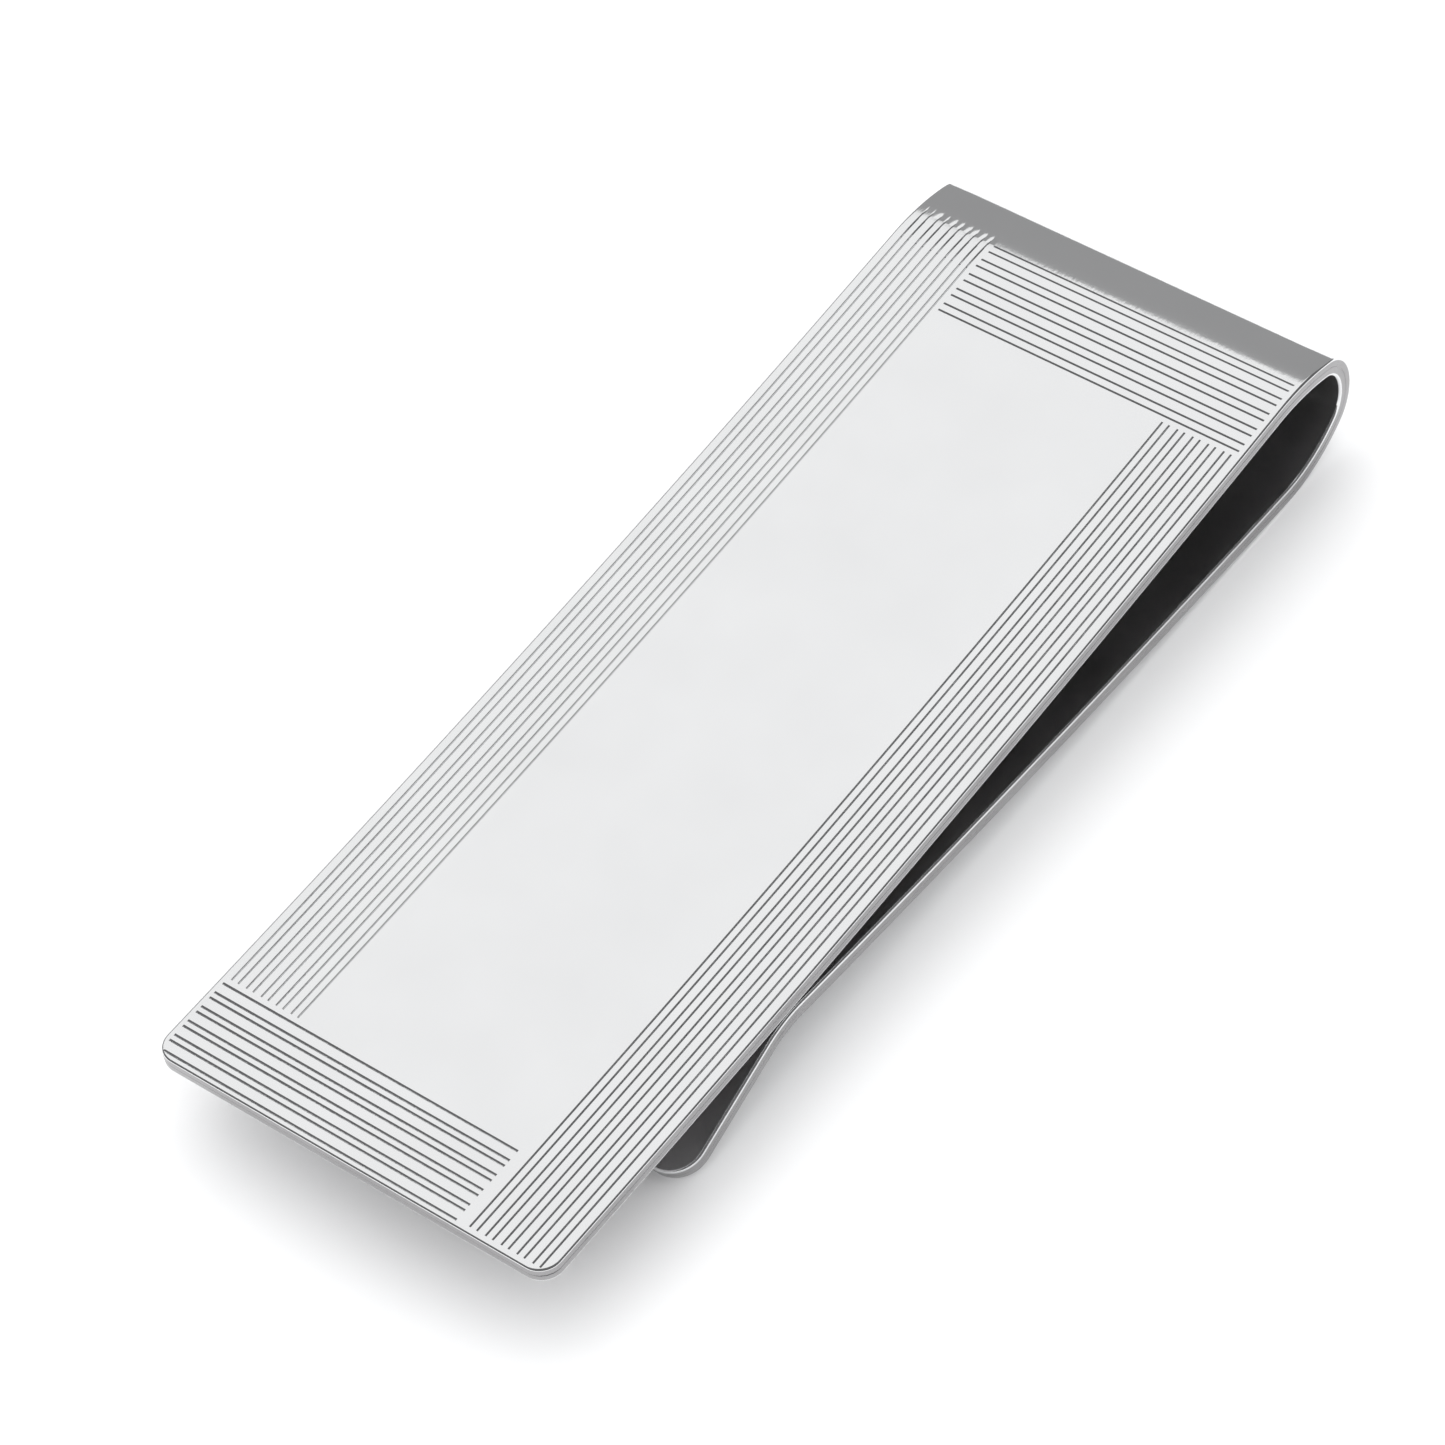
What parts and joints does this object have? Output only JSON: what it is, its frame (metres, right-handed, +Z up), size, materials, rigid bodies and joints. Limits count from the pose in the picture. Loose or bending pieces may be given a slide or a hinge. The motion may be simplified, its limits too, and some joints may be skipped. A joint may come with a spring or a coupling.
{
  "type": "money clip",
  "caption": "Folded spring-strip money clip with a line-engraved front plate, a bellied spring arm under it and a flared lift lip.",
  "frame": {"origin": "under the middle of the clip's bounding box, on the surface that the closed clip lies on", "axes": "+X across the clip's width, +Y from the open end to the fold, +Z up from the surface that it lies on; the front plate is tilted by 2.25 degrees about X"},
  "size_m": [0.0172, 0.0479, 0.005],
  "materials": {
    "bright_face": "polished silver-tone plating, with engraved lines round a blank panel",
    "bright_spring": "polished silver-tone plating, a little duller inside the fold"
  },
  "bodies": {
    "spring_side": {"fold_nose": "bright_spring", "fold_heel": "bright_spring", "spring_arm": "bright_spring", "grip_ridge": "bright_spring", "lift_lip": "bright_spring"},
    "front_side": {"front_plate": "bright_face", "fold_shoulder": "bright_face"}
  },
  "joints": [
    {"name": "clip_opening", "type": "hinge", "parent": "spring_side", "child": "front_side", "pos_m": [0, 0.02205, 0.00269], "axis": [-1, 0, 0], "range_deg": [0, 7], "stiffness_Nm_per_rad": 0.15, "springref_deg": -2.86, "deforming": ["fold_nose"]}
  ]
}
